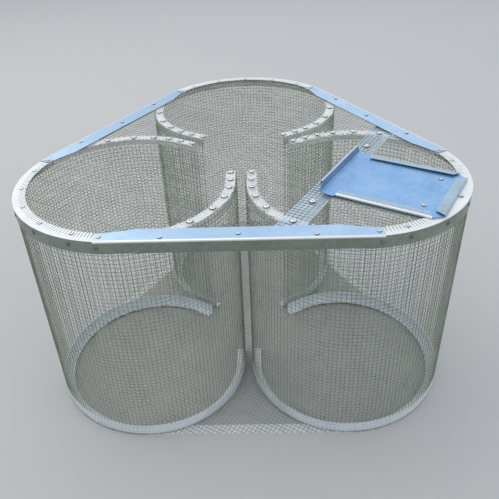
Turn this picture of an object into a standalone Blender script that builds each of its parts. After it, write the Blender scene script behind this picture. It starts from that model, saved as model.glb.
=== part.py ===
# Three-lobe fish trap of galvanised wire netting and folded sheet metal.
#
# The trap is a drum with a rounded triangular plan. Each corner is a lobe: one netting wall that
# follows the corner and curls inwards along both sides, so that three narrow upright slits lead
# fish to the middle. Angle strips bind the rim, pleated where they turn a corner, and a sliding
# door over one lobe lets the catch out.
#
# Metres, +Z up. The origin is on the ground, under the middle of the trap's bounding box.

import math

import bmesh
import bpy
from mathutils import Matrix, Vector

# Overall sizes
lobe_spacing = 0.314        # from one lobe's centre to the next
corner_radius = 0.168       # outer face of the rim round a corner
trap_height = 0.365         # ground to the top face of the rim strips
slit_width = 0.013          # clear width of an entrance slit
front_slit_reach = 0.072    # from the trap's axis to the inner end of the front slit
side_slit_reach = 0.080     # and of the two others

# Sheet metal, netting and the gap between pieces that touch
sheet = 0.0006
net_thickness = 0.0012
clearance = 0.0003

# The netting is drawn as an open lattice, far coarser than the real wires
net_bar = 0.004
net_border = 0.017
net_pitch = 0.058
wall_window_height = 0.118
least_window_percent = 20   # a cell cut smaller than this by the border stays closed
corner_facets = 8           # flat facets round a lobe's corner
curl_facets = 5             # and round the quarter turn of a curl

# Rim: straight angle strips over pleated corner angles
rim_flange = 0.028
rim_depth = 0.018
rim_end_flange = 0.018
rim_taper = 0.053
rim_overlap = 0.021         # a strip runs this far past the start of the corner
corner_flange = 0.018

# Angles that bind the top and foot of the curled walls
curl_flange = 0.014
curl_depth = 0.014
ring_flange = 0.014
ring_depth = 0.018
pleat_rise = 0.0012
rim_pleats = 3              # pleats in each facet
curl_pleats = 2

# Flat strips under the floor netting
floor_strip_width = 0.017
floor_strip_inset = 0.001
floor_strip_overlap = 0.004

# Strap under the top netting, across the lobe with the door
strap_setback = 0.0296      # from the lobe's centre to the strap's inner edge
strap_width = 0.035
strap_crease = 0.0213       # from the strap's inner edge to its joggle
strap_joggle = 0.0008
strap_end_gap = 0.004

# Door opening, its tray and the sliding door
opening_length = 0.1263
opening_width = 0.112
opening_sill = 0.0025       # from the strap's outer edge to the opening
hatch_offset = -0.006       # the hatch's middle line beside the lobe's middle line
tray_start_gap = 0.0018     # from the opening's start to the tray's open end
tray_leg = 0.012
tray_end_leg = 0.014
tray_end_lap = 0.005        # netting left between the opening and the tray's end leg
tray_height = 0.0042
tray_leg_taper = 0.006
door_thickness = 0.0008
door_play = 0.0005
door_flare = 0.0025
lip_run = 0.007             # from the tray's open end to the foot of the lip's slope
lip_slope_run = 0.0145
lip_slope_rise = 0.0017
lip_height = 0.0135         # of the upright flange at the top of the slope
lip_taper = 0.007           # the flange is this much shorter at the top, at either end
hem_width = 0.0032          # over the top of the flange's hem
hem_mouth = 0.0024          # and over its free edge
hem_lift = 0.003            # from the flange's foot up to that edge
hem_steps = 4
backing_width = 0.013
backing_gap = 0.0015

# Rivets
rivet_head_radius = 0.0032
rivet_head_height = 0.0012
rivet_radius = 0.0016
rivet_tail_radius = 0.0023
rivet_tail_height = 0.0009
rivet_sides = 8
rim_rivet_spacing = 0.096
rim_rivet_inset = 0.013
rim_rivet_side_inset = 0.008
rim_end_rivet_back = 0.006  # from the end of a strip to its last rivet
rim_end_rivet_inset = 0.011
strap_rivet_inset = 0.0168  # from the strap's inner edge
strap_rivet_inner = 0.098   # beside the lobe's middle line
strap_rivet_outer = 0.154
stop_rivet_back = 0.031     # from the door's outer end to its stop rivets
stop_rivet_edge = 0.0155    # from the sides of the opening inwards
stop_rivet_reach = 0.0008   # how far the stop rivets' tails hang below the netting's top
drill_depth = 0.012

# Worked out from the sizes above
lobe_offset = lobe_spacing / math.sqrt(3.0)
lap = sheet + clearance
wall_radius = corner_radius - lap
curl_radius = lobe_spacing / 2.0 - slit_width / 2.0
side_distance = lobe_offset / 2.0 + corner_radius
corner_turn = math.radians(120.0) / corner_facets
curl_turn = math.radians(90.0) / curl_facets
wall_facets = corner_facets + 2 * (1 + curl_facets)
crease_cut = net_bar / 2.0 * math.sin(max(corner_turn, curl_turn) / 2.0)
leg_offset = net_thickness + clearance + crease_cut
axis_y = -(lobe_offset / 2.0 - lap) / 2.0
strap_radius = lobe_offset - strap_setback
strap_end = strap_radius + strap_width
rivet_hole = rivet_radius + clearance

# Levels, from the ground up
floor_net_bottom = sheet + clearance
floor_net_top = floor_net_bottom + net_thickness
wall_bottom = floor_net_top + clearance

# Levels, from the rim down
strip_top = trap_height
corner_top = strip_top - lap
net_top = corner_top - lap
net_bottom = net_top - net_thickness
strap_top = net_bottom - clearance
strap_bottom = strap_top - sheet - strap_joggle

# Hatch, in the frame of the lobe that carries it: X along the lobe, Y across it
opening_start = strap_end + opening_sill
opening_end = opening_start + opening_length
opening_low = hatch_offset - opening_width / 2.0
opening_high = hatch_offset + opening_width / 2.0
tray_start = opening_start + tray_start_gap
tray_leg_end = opening_end + tray_end_lap
tray_end = tray_leg_end + tray_end_leg
tray_low = opening_low - tray_leg
tray_high = opening_high + tray_leg
tray_bottom = corner_top + clearance
tray_floor = tray_bottom + sheet
door_bottom = tray_floor + clearance
door_top = door_bottom + door_thickness
door_end = tray_end - sheet - door_play
door_half_width = (tray_high - tray_low) / 2.0 - sheet - door_play

# Directions of the lobes and of the straight sides between them, in degrees
LOBES = {"left": 210.0, "right": 330.0, "back": 90.0}
SIDES = {"front": 270.0, "left": 150.0, "right": 30.0}
HATCH_LOBE = "right"

# The sides that follow and precede each corner, and what its two curls are called
CORNER_SIDES = {
    "left": ("front", "left"), "right": ("right", "front"), "back": ("left", "right"),
}
CURL_ENDS = {
    "left": {-1: "rear", 1: "front"},
    "right": {-1: "front", 1: "rear"},
    "back": {-1: "right", 1: "left"},
}

# How near the trap's axis the two ends of each lobe's wall come
CURL_REACHES = {
    "left": {-1: side_slit_reach, 1: front_slit_reach},
    "right": {-1: front_slit_reach, 1: side_slit_reach},
    "back": {-1: side_slit_reach, 1: side_slit_reach},
}


def clear_scene():
    for item in list(bpy.data.objects):
        bpy.data.objects.remove(item, do_unlink=True)


def make_material(name, colour, metallic, roughness):
    finish = bpy.data.materials.new(name)
    finish.use_nodes = True
    shader = finish.node_tree.nodes["Principled BSDF"]
    shader.inputs["Base Color"].default_value = (*colour, 1.0)
    shader.inputs["Metallic"].default_value = metallic
    shader.inputs["Roughness"].default_value = roughness
    finish.diffuse_color = (*colour, 1.0)
    return finish


def new_collection(name):
    group = bpy.data.collections.new(name)
    bpy.context.scene.collection.children.link(group)
    return group


def new_frame(name, angle):
    """An empty on the trap's axis, turned so that its X points along the given direction."""
    frame = bpy.data.objects.new(name, None)
    frame.location = (0.0, axis_y, 0.0)
    frame.rotation_euler = (0.0, 0.0, math.radians(angle))
    PARTS.objects.link(frame)
    return frame


def move_to(item, group):
    for holder in list(item.users_collection):
        holder.objects.unlink(item)
    group.objects.link(item)


def adopt(item, name, parent, finish):
    """Name a finished piece, give it its material and hang it on its frame."""
    item.name = name
    item.data.name = name
    item.data.materials.clear()
    item.data.materials.append(finish)
    item.parent = parent
    move_to(item, PARTS)
    return item


def shade_round(item, angle=32.0):
    item.data.shade_smooth()
    item.data.set_sharp_from_angle(angle=math.radians(angle))


def add_solidify(item, thickness):
    """Thicken a sheet on the side its faces point away from."""
    skin = item.modifiers.new("Solidify", "SOLIDIFY")
    skin.thickness = thickness
    skin.offset = -1.0
    skin.use_even_offset = True
    skin.use_quality_normals = True


def folded_sheet(columns, rows, place, window=None):
    """A primitive grid whose points are moved to place(column, row); windows are cut out."""
    bpy.ops.mesh.primitive_grid_add(x_subdivisions=columns, y_subdivisions=rows, size=1.0)
    item = bpy.context.object
    work = bmesh.new()
    work.from_mesh(item.data)
    cells = {}
    for point in work.verts:
        cells[point] = (round((point.co.x + 0.5) * columns), round((point.co.y + 0.5) * rows))
    if window:
        cut = []
        for face in work.faces:
            column = min(cells[point][0] for point in face.verts)
            row = min(cells[point][1] for point in face.verts)
            if window(column, row):
                cut.append(face)
        bmesh.ops.delete(work, geom=cut, context="FACES")
    for point in work.verts:
        point.co = place(*cells[point])
    work.to_mesh(item.data)
    work.free()
    return item


def flat_plate(outline, holes, bottom, thickness):
    """A flat plate: a filled plan outline with holes, raised to its level."""
    curve = bpy.data.curves.new("plate", "CURVE")
    curve.dimensions = "2D"
    curve.fill_mode = "BOTH"
    curve.extrude = thickness / 2.0
    for ring in [outline, *holes]:
        spline = curve.splines.new("POLY")
        spline.points.add(len(ring) - 1)
        for knot, point in zip(spline.points, ring):
            knot.co = (point[0], point[1], 0.0, 1.0)
        spline.use_cyclic_u = True
    item = bpy.data.objects.new("plate", curve)
    item.location = (0.0, 0.0, bottom + thickness / 2.0)
    PARTS.objects.link(item)
    return item


def circle(centre, radius, sides):
    points = []
    for step in range(sides):
        points.append(centre + polar(radius, 2.0 * math.pi * step / sides))
    return points


def polar(radius, angle):
    return Vector((radius * math.cos(angle), radius * math.sin(angle)))


def wall_line(lobe):
    """Plan points of a lobe wall's outer face, from one slit end round to the other."""
    centre = Vector((lobe_offset, 0.0))
    points = []
    for sense, reach in CURL_REACHES[lobe].items():
        pivot = centre + polar(wall_radius - curl_radius, sense * math.radians(60.0))
        curl = []
        for step in range(curl_facets + 1):
            angle = sense * (math.radians(150.0) - curl_turn * step)
            curl.append(pivot + polar(curl_radius, angle))
        slit_direction = polar(1.0, sense * math.radians(60.0))
        straight = curl[0].dot(slit_direction) - reach
        curl.insert(0, curl[0] - slit_direction * straight)
        if sense < 0.0:
            points.extend(curl)
            for step in range(1, corner_facets):
                angle = corner_turn * step - math.radians(60.0)
                points.append(centre + polar(wall_radius, angle))
        else:
            points.extend(reversed(curl))
    return points


def offset_line(points, distance):
    """The same line moved towards the lobe's inside, each facet parallel to its old place."""
    moved = []
    for index, point in enumerate(points):
        normals = []
        for start in (index - 1, index):
            if 0 <= start < len(points) - 1:
                along = (points[start + 1] - points[start]).normalized()
                normals.append(Vector((-along.y, along.x)))
        mitre = (normals[0] + normals[-1]).normalized()
        moved.append(point + mitre * (distance / mitre.dot(normals[0])))
    return moved


def divide(points, parts):
    """Split each facet of a line into equal parts."""
    stations = [points[0]]
    for start, end in zip(points, points[1:]):
        for step in range(1, parts + 1):
            stations.append(start.lerp(end, step / parts))
    return stations


def make_wall(lobe):
    """Netting wall of a lobe: one window in each facet, in a few rows."""
    top = wall_top(lobe)
    line = wall_line(lobe)
    stations = [line[0]]
    for index, (start, end) in enumerate(zip(line, line[1:])):
        along = (end - start).normalized()
        first = net_bar if index == 0 else net_bar / 2.0
        last = net_bar if index == len(line) - 2 else net_bar / 2.0
        stations.extend([start + along * first, end - along * last])
    stations.append(line[-1])
    rows = max(1, round((top - wall_bottom) / wall_window_height))
    pitch = (top - wall_bottom - net_bar) / rows
    levels = []
    for row in range(rows + 1):
        levels.extend([wall_bottom + pitch * row, wall_bottom + pitch * row + net_bar])

    def place(column, row):
        return (*stations[column], levels[row])

    def window(column, row):
        return column % 2 == 1 and row % 2 == 1

    wall = folded_sheet(len(stations) - 1, len(levels) - 1, place, window)
    adopt(wall, "lobe_wall_" + lobe, LOBE_FRAMES[lobe], WIRE)
    add_solidify(wall, net_thickness)
    shade_round(wall)


def wall_top(lobe):
    """Walls reach the top netting, or the underside of the strap that crosses their lobe."""
    return (strap_bottom if lobe == HATCH_LOBE else net_bottom) - clearance


def pleated_angle(name, lobe, span, leg, flange, depth, level, sense, rise, pleats, flat):
    """An angle along part of the wall's line, its flange pleated to turn the corner.

    The upright leg lies leg inside the wall's outer face. It stands up from the flange where
    sense is 1 and hangs down from it where sense is -1. Every second point of the flange's
    inner edge is raised by rise, except where flat says so.
    """
    parts = 2 * pleats
    chosen = slice(span[0] * parts, span[1] * parts + 1)
    line = wall_line(lobe)
    outer = divide(offset_line(line, leg), parts)[chosen]
    inner = divide(offset_line(line, leg + flange), parts)[chosen]

    def place(column, row):
        if sense > 0.0:
            row = 2 - row
        if row == 0:
            return (*outer[column], level + sense * depth)
        if row == 1:
            return (*outer[column], level)
        raised = column % 2 == 1 and not flat(column, inner[column])
        return (*inner[column], level + (rise if raised else 0.0))

    piece = folded_sheet(len(outer) - 1, 2, place)
    adopt(piece, name, LOBE_FRAMES[lobe], GALVANISED)
    add_solidify(piece, sheet)
    shade_round(piece)
    return piece


def make_rim_corner(lobe):
    """Pleated angle round a corner; flat where a strip, or the door's tray, lies over it."""
    last = corner_facets * 2 * rim_pleats
    pitch = corner_radius * corner_turn / (2 * rim_pleats)
    lapped = math.ceil(rim_overlap / pitch)

    def flat(column, point):
        under_tray = tray_low - pitch < point.y < tray_high + pitch
        under_strip = column <= lapped or column >= last - lapped
        return under_strip or (lobe == HATCH_LOBE and under_tray)

    span = (1 + curl_facets, 1 + curl_facets + corner_facets)
    corner = pleated_angle(
        "rim_corner_" + lobe, lobe, span, -lap, corner_flange, rim_depth, corner_top, -1.0,
        pleat_rise, rim_pleats, flat,
    )
    for drill in corner_drills(lobe):
        use_drill(corner, drill)


def make_curl_angle(lobe, end):
    """Pleated angle under the top netting, from a slit out to the rim; end is -1 or 1."""
    count = 2 * curl_pleats * (1 + curl_facets)
    straight = 2 * curl_pleats
    span = (0, 1 + curl_facets) if end < 0 else (wall_facets - 1 - curl_facets, wall_facets)
    rivet = strap_rivet_spots()[2 * end]

    def flat(column, point):
        from_slit = column if end < 0 else count - column
        at_rivet = lobe == HATCH_LOBE and (point - rivet).length < 1.5 * curl_flange
        return from_slit <= straight or at_rivet

    name = "curl_angle_" + lobe + "_" + CURL_ENDS[lobe][end]
    angle = pleated_angle(
        name, lobe, span, leg_offset, curl_flange, curl_depth, wall_top(lobe), -1.0,
        -pleat_rise, curl_pleats, flat,
    )
    if lobe == HATCH_LOBE:
        use_drill(angle, STRAP_DRILLS[2 * end])


def make_floor_ring(lobe):
    """Pleated angle that stands on the floor netting along the whole foot of a wall."""
    count = 2 * curl_pleats * wall_facets
    straight = 2 * curl_pleats

    def flat(column, point):
        return column <= straight or column >= count - straight

    pleated_angle(
        "floor_ring_" + lobe, lobe, (0, wall_facets), leg_offset, ring_flange, ring_depth,
        wall_bottom, 1.0, pleat_rise, curl_pleats, flat,
    )


def make_rim_strip(side):
    """Angle strip over one straight side, its flange tapered towards both ends."""
    half = lobe_spacing / 2.0 + rim_overlap
    stations = [-half, rim_taper - half, half - rim_taper, half]
    widths = [rim_end_flange, rim_flange, rim_flange, rim_end_flange]
    face = side_distance + lap

    def place(column, row):
        if row == 0:
            return (face, stations[column], strip_top - rim_depth)
        if row == 1:
            return (face, stations[column], strip_top)
        return (face - widths[column], stations[column], strip_top)

    strip = folded_sheet(3, 2, place)
    adopt(strip, "rim_strip_" + side, SIDE_FRAMES[side], GALVANISED)
    add_solidify(strip, sheet)
    for drill in RIM_DRILLS[side].values():
        use_drill(strip, drill)


def make_floor_strip(side):
    """Flat strip under the floor netting along one side; the trap stands on the three."""
    outer = side_distance - lap - floor_strip_inset
    inner = outer - floor_strip_width
    half = lobe_spacing / 2.0 + floor_strip_overlap
    outline = [(inner, -half), (outer, -half), (outer, half), (inner, half)]
    strip = flat_plate(outline, [], 0.0, sheet)
    adopt(strip, "floor_strip_" + side, SIDE_FRAMES[side], GALVANISED)


def panel_outline(inset):
    """Plan outline of the flat netting, in the frame of the lobe with the door."""
    points = []
    for turn in (0.0, 120.0, 240.0):
        centre = polar(lobe_offset, math.radians(turn))
        for step in range(corner_facets + 1):
            angle = math.radians(turn - 60.0) + corner_turn * step
            points.append(centre + polar(wall_radius - inset, angle))
    return points


def clip(polygon, region):
    """The part of a convex polygon inside a convex region; both run anticlockwise."""
    for start, end in zip(region, region[1:] + region[:1]):
        along = end - start
        kept = []
        for here, after in zip(polygon, polygon[1:] + polygon[:1]):
            inside_here = cross(along, here - start)
            inside_after = cross(along, after - start)
            if inside_here >= 0.0:
                kept.append(here)
            if (inside_here < 0.0) != (inside_after < 0.0):
                kept.append(here.lerp(after, inside_here / (inside_here - inside_after)))
        polygon = kept
    return polygon


def cross(first, second):
    return first.x * second.y - first.y * second.x


def area(polygon):
    return sum(cross(a, b) for a, b in zip(polygon, polygon[1:] + polygon[:1])) / 2.0


def drop_short_edges(polygon):
    kept = []
    for point in polygon:
        if all((point - other).length > net_bar / 2.0 for other in kept[-1:] + kept[:1]):
            kept.append(point)
    return kept


def lattice(start, length):
    """Centre lines of the bars across one direction, two of them beside the door opening."""
    cells = max(1, round((length + net_bar) / net_pitch))
    pitch = (length + net_bar) / cells
    reach = math.ceil(2.0 * side_distance / pitch)
    return [start - net_bar / 2.0 + pitch * step for step in range(-reach, reach + 1)]


def cell(left, right, low, high):
    """Corners of a window between four bars' centre lines."""
    x0, x1 = left + net_bar / 2.0, right - net_bar / 2.0
    y0, y1 = low + net_bar / 2.0, high - net_bar / 2.0
    return [Vector((x0, y0)), Vector((x1, y0)), Vector((x1, y1)), Vector((x0, y1))]


def netting_windows(with_opening):
    """Windows of a flat netting: the lattice's cells, clipped to the border."""
    region = panel_outline(net_border)
    columns = lattice(opening_start, opening_length)
    rows = lattice(opening_low, opening_width)
    windows = []
    if with_opening:
        windows.append([
            Vector((opening_start, opening_low)), Vector((opening_end, opening_low)),
            Vector((opening_end, opening_high)), Vector((opening_start, opening_high)),
        ])
    for left, right in zip(columns, columns[1:]):
        for low, high in zip(rows, rows[1:]):
            inside_length = opening_start < (left + right) / 2.0 < opening_end
            inside_width = opening_low < (low + high) / 2.0 < opening_high
            if with_opening and inside_length and inside_width:
                continue
            whole = cell(left, right, low, high)
            window = clip(whole, region)
            if len(window) > 2 and area(window) * 100.0 > area(whole) * least_window_percent:
                windows.append(drop_short_edges(window))
    return windows


def make_floor_netting():
    plate = flat_plate(
        panel_outline(0.0), netting_windows(False), floor_net_bottom, net_thickness
    )
    adopt(plate, "floor_netting", LOBE_FRAMES[HATCH_LOBE], WIRE)


def make_top_netting():
    """Top netting, with the door opening and the rivets' holes."""
    holes = netting_windows(True)
    for side, angle in SIDES.items():
        turn = math.radians(angle - LOBES[HATCH_LOBE])
        for spot in rim_rivet_spots().values():
            centre = polar(spot.length, math.atan2(spot.y, spot.x) + turn)
            holes.append(circle(centre, rivet_hole, rivet_sides))
    plate = flat_plate(panel_outline(0.0), holes, net_bottom, net_thickness)
    adopt(plate, "top_netting", LOBE_FRAMES[HATCH_LOBE], WIRE)


def make_strap():
    """Flat strap under the top netting, with a shallow joggle along it."""
    crease = strap_radius + strap_crease
    stations = [strap_radius, crease, crease + 2.0 * strap_joggle, strap_end]
    drops = [0.0, 0.0, strap_joggle, strap_joggle]
    reach = side_distance - lap - strap_end_gap

    def place(column, row):
        end = reach - stations[column] * math.cos(math.radians(60.0))
        end /= math.sin(math.radians(60.0))
        return (stations[column], end if row else -end, strap_top - drops[column])

    strap = folded_sheet(3, 1, place)
    adopt(strap, "hatch_strap", LOBE_FRAMES[HATCH_LOBE], GALVANISED)
    add_solidify(strap, sheet)
    for drill in STRAP_DRILLS.values():
        use_drill(strap, drill)


def make_backing(side, low):
    """Flat strip under the netting along one edge of the door opening."""
    start = strap_end + clearance
    high = low + backing_width
    reach = wall_radius * math.cos(corner_turn / 2.0) - net_thickness
    farther = max(abs(low), abs(high))
    end = lobe_offset + math.sqrt(reach ** 2 - farther ** 2) - backing_gap
    outline = [(start, low), (end, low), (end, high), (start, high)]
    plate = flat_plate(outline, [], strap_top - sheet, sheet)
    adopt(plate, "hatch_backing_" + side, LOBE_FRAMES[HATCH_LOBE], GALVANISED)


def make_tray():
    """Tray round the door opening: a flat sheet with three edges folded over as channels."""
    stations = [tray_start, tray_leg_end, tray_end - sheet]
    edges = [tray_low + sheet, opening_low, opening_high, tray_high - sheet]

    def corner(column, row):
        return Vector((stations[column], edges[row], tray_floor))

    def place(column, row):
        if column == 2 and row in (0, 3):
            return corner(1, row).lerp(corner(2, 1 if row == 0 else 2), 0.5)
        return corner(column, row)

    def window(column, row):
        return column == 0 and row == 1

    tray = folded_sheet(2, 3, place, window)
    work = bmesh.new()
    work.from_mesh(tray.data)
    fold_channel(work, corner(0, 0), corner(1, 0), (0.0, 1.0, 0.0), tray_leg, (0.0, 1.0))
    fold_channel(work, corner(0, 3), corner(1, 3), (0.0, -1.0, 0.0), tray_leg, (0.0, 1.0))
    fold_channel(work, corner(2, 1), corner(2, 2), (-1.0, 0.0, 0.0), tray_end_leg, (1.0, 1.0))
    bmesh.ops.recalc_face_normals(work, faces=work.faces[:])
    if max(work.faces, key=lambda face: face.calc_area()).normal.z < 0.0:
        bmesh.ops.reverse_faces(work, faces=work.faces[:])
    work.to_mesh(tray.data)
    work.free()
    adopt(tray, "hatch_tray", LOBE_FRAMES[HATCH_LOBE], GALVANISED)
    add_solidify(tray, sheet)


def fold_channel(work, start, end, inwards, leg, tapers):
    """Fold one edge of the tray up and over; the leg's free edge is shortened at its ends."""
    near_start = min(work.verts, key=lambda point: (point.co - start).length)
    near_end = min(work.verts, key=lambda point: (point.co - end).length)
    along = (end - start).normalized() * tray_leg_taper
    moves = [
        (Vector((0.0, 0.0, tray_height - 2.0 * sheet)), Vector(), Vector()),
        (Vector(inwards) * (leg - sheet), along * tapers[0], -along * tapers[1]),
    ]
    for move, move_start, move_end in moves:
        edge = work.edges.get([near_start, near_end])
        grown = bmesh.ops.extrude_edge_only(work, edges=[edge])["geom"]
        points = [part for part in grown if isinstance(part, bmesh.types.BMVert)]
        points.sort(key=lambda point: (point.co - start).length)
        near_start, near_end = points
        near_start.co += move + move_start
        near_end.co += move + move_end


def make_door():
    """Sliding door: a plate that widens outside the tray and ends in an upright hemmed lip."""
    shoulder = tray_start - clearance
    bend = tray_start - lip_run
    front = bend - lip_slope_run
    foot = door_top + lip_slope_rise
    wide = door_half_width + sheet + door_play + door_flare
    narrow = wide - lip_taper
    hem = Vector((front - hem_width / 2.0, foot + lip_height - hem_width / 2.0))
    profile = [(front - hem_mouth, foot + hem_lift, narrow)]
    for step in range(hem_steps + 1):
        point = hem + polar(hem_width / 2.0, math.pi * (1.0 - step / hem_steps))
        profile.append((*point, narrow))
    profile += [
        (front, foot, wide),
        (bend, door_top, wide),
        (shoulder - door_flare, door_top, wide),
        (shoulder, door_top, door_half_width),
        (tray_leg_end - door_play, door_top, door_half_width),
        (door_end, door_top, opening_width / 2.0),
    ]

    def place(column, row):
        along, level, half = profile[column]
        return (along - door_end, half if row else -half, level - door_bottom)

    door = folded_sheet(len(profile) - 1, 1, place)
    adopt(door, "hatch_door", DOOR_SLIDE, DOOR_SHEET)
    add_solidify(door, door_thickness)
    for drill in STOP_DRILLS.values():
        use_drill(door, drill)


def rim_rivet_spots():
    """Plan places of a rim strip's rivets, numbered along it, in the frame of its side."""
    face = side_distance + lap
    end = lobe_spacing / 2.0 + rim_overlap - rim_end_rivet_back
    return {
        1: Vector((face - rim_end_rivet_inset, -end)),
        2: Vector((face - rim_rivet_side_inset, -rim_rivet_spacing)),
        3: Vector((face - rim_rivet_inset, 0.0)),
        4: Vector((face - rim_rivet_side_inset, rim_rivet_spacing)),
        5: Vector((face - rim_end_rivet_inset, end)),
    }


def beside_bars(place, bars):
    """The place, moved if need be so that a rivet's head sits clear in a window."""
    room = net_bar / 2.0 + rivet_head_radius + clearance
    below = max(bar for bar in bars if bar <= place)
    above = min(bar for bar in bars if bar > place)
    return min(max(place, below + room), above - room)


def strap_rivet_spots():
    """Places across the lobe; the outer ones, -2 and 2, also go through the curl angles."""
    columns = lattice(opening_start, opening_length)
    rows = lattice(opening_low, opening_width)
    along = beside_bars(strap_radius + strap_rivet_inset, columns)
    across = {
        -2: -strap_rivet_outer, -1: -strap_rivet_inner,
        1: strap_rivet_inner, 2: strap_rivet_outer,
    }
    return {place: Vector((along, beside_bars(side, rows))) for place, side in across.items()}


def stop_rivet_spots():
    """Places in the door, from the middle of its outer edge."""
    half = opening_width / 2.0 - stop_rivet_edge
    return {"front": Vector((-stop_rivet_back, -half)), "rear": Vector((-stop_rivet_back, half))}


def make_drill(name, frame, spot, level):
    """An upright cutter for one rivet hole."""
    bpy.ops.mesh.primitive_cylinder_add(
        vertices=rivet_sides, radius=rivet_hole, depth=drill_depth, location=(*spot, level)
    )
    drill = bpy.context.object
    drill.name = name
    drill.parent = frame
    drill.hide_render = True
    drill.display_type = "WIRE"
    move_to(drill, CUTTERS)
    return drill


def use_drill(item, drill):
    bore = item.modifiers.new("Rivet hole", "BOOLEAN")
    bore.operation = "DIFFERENCE"
    bore.solver = "EXACT"
    bore.object = drill


def corner_drills(lobe):
    """The two strip ends that are riveted down on this lobe's corner."""
    after, before = CORNER_SIDES[lobe]
    return [RIM_DRILLS[before][5], RIM_DRILLS[after][1]]


def rivet_profile(name, grip, tail):
    """Half section of a rivet: domed head, shank as long as its grip, and upset tail."""
    section = [
        (0.0, rivet_head_height),
        (rivet_head_radius * 0.7, rivet_head_height * 0.7),
        (rivet_head_radius, 0.0),
        (rivet_radius, 0.0),
        (rivet_radius, -grip),
        (rivet_tail_radius, -grip),
        (0.0, -grip - tail),
    ]
    data = bpy.data.meshes.new(name)
    points = [(radius, 0.0, height) for radius, height in section]
    data.from_pydata(points, [(step, step + 1) for step in range(len(points) - 1)], [])
    data.materials.append(RIVET)
    return data


def make_rivet(name, frame, data, spot, seat):
    """A rivet turned from its half section, its head seated at the given level."""
    rivet = bpy.data.objects.new(name, data)
    rivet.location = (*spot, seat)
    rivet.parent = frame
    PARTS.objects.link(rivet)
    turn = rivet.modifiers.new("Turn", "SCREW")
    turn.axis = "Z"
    turn.steps = rivet_sides
    turn.render_steps = rivet_sides
    turn.use_merge_vertices = True
    turn.merge_threshold = 0.00005


def make_rim_rivets():
    seat = strip_top + clearance
    data = rivet_profile("rim_rivet", seat - (net_bottom - clearance), rivet_tail_height)
    for side, frame in SIDE_FRAMES.items():
        for number, spot in rim_rivet_spots().items():
            make_rivet("rim_rivet_" + side + "_" + str(number), frame, data, spot, seat)


def make_strap_rivets():
    seat = net_top + clearance
    feet = {"inner": strap_top - sheet - clearance, "outer": strap_bottom - lap - clearance}
    spots = strap_rivet_spots()
    for place, foot in feet.items():
        data = rivet_profile("strap_rivet_" + place, seat - foot, rivet_tail_height)
        for end, side in ((-1, "front"), (1, "rear")):
            name = "strap_rivet_" + place + "_" + side
            spot = spots[end if place == "inner" else 2 * end]
            make_rivet(name, LOBE_FRAMES[HATCH_LOBE], data, spot, seat)


def make_stop_rivets():
    """Rivets in the door, with tails that meet the edge of the netting when it is open."""
    seat = door_thickness + clearance
    foot = -clearance
    tail = foot + door_bottom - (net_top - stop_rivet_reach)
    data = rivet_profile("door_stop_rivet", seat - foot, tail)
    for side, spot in stop_rivet_spots().items():
        make_rivet("door_stop_rivet_" + side, DOOR_SLIDE, data, spot, seat)


clear_scene()
PARTS = new_collection("fish_trap")
CUTTERS = new_collection("fish_trap_cutters")
GALVANISED = make_material("galvanised_sheet", (0.62, 0.70, 0.80), 0.85, 0.34)
DOOR_SHEET = make_material("galvanised_door_sheet", (0.52, 0.66, 0.86), 0.85, 0.30)
WIRE = make_material("galvanised_wire", (0.60, 0.62, 0.60), 0.80, 0.45)
RIVET = make_material("aluminium_rivet", (0.82, 0.83, 0.84), 0.90, 0.28)

LOBE_FRAMES = {lobe: new_frame("lobe_frame_" + lobe, turn) for lobe, turn in LOBES.items()}
SIDE_FRAMES = {side: new_frame("side_frame_" + side, turn) for side, turn in SIDES.items()}
DOOR_SLIDE = new_frame("door_slide", 0.0)
DOOR_SLIDE.parent = LOBE_FRAMES[HATCH_LOBE]
DOOR_SLIDE.location = (door_end, hatch_offset, door_bottom)

RIM_DRILLS = {}
for side, frame in SIDE_FRAMES.items():
    RIM_DRILLS[side] = {}
    for number, spot in rim_rivet_spots().items():
        name = "rim_drill_" + side + "_" + str(number)
        RIM_DRILLS[side][number] = make_drill(name, frame, spot, net_top)
STRAP_DRILLS = {}
for place, spot in strap_rivet_spots().items():
    name = "strap_drill_" + str(place)
    STRAP_DRILLS[place] = make_drill(name, LOBE_FRAMES[HATCH_LOBE], spot, strap_bottom)
STOP_DRILLS = {}
for place, spot in stop_rivet_spots().items():
    STOP_DRILLS[place] = make_drill("stop_drill_" + place, DOOR_SLIDE, spot, 0.0)

make_floor_netting()
make_top_netting()
for lobe in LOBES:
    make_wall(lobe)
    make_rim_corner(lobe)
    make_curl_angle(lobe, -1)
    make_curl_angle(lobe, 1)
    make_floor_ring(lobe)
for side in SIDES:
    make_rim_strip(side)
    make_floor_strip(side)
make_strap()
make_backing("front", opening_low - backing_width)
make_backing("rear", opening_high)
make_tray()
make_door()
make_rim_rivets()
make_strap_rivets()
make_stop_rivets()
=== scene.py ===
# %% [markdown]
# # A fish trap of wire netting and folded sheet
#
# The real trap is made by hand from galvanised wire netting, strips of galvanised sheet folded
# into angles, and pop rivets. Its plan is a rounded triangle. At each corner one netting wall
# runs round the outside and curls back in, so the three walls leave three narrow slits, and fish
# that swim in don't find them again. A sliding door in the top lets the catch out.
#
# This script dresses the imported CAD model, the frame. Its places and sizes are kept, and finer
# pieces are modelled over it with the operators that a person would use in Blender's window.

import math
import random

import bpy
from mathutils import Matrix, Vector
from mathutils.kdtree import KDTree


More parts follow.
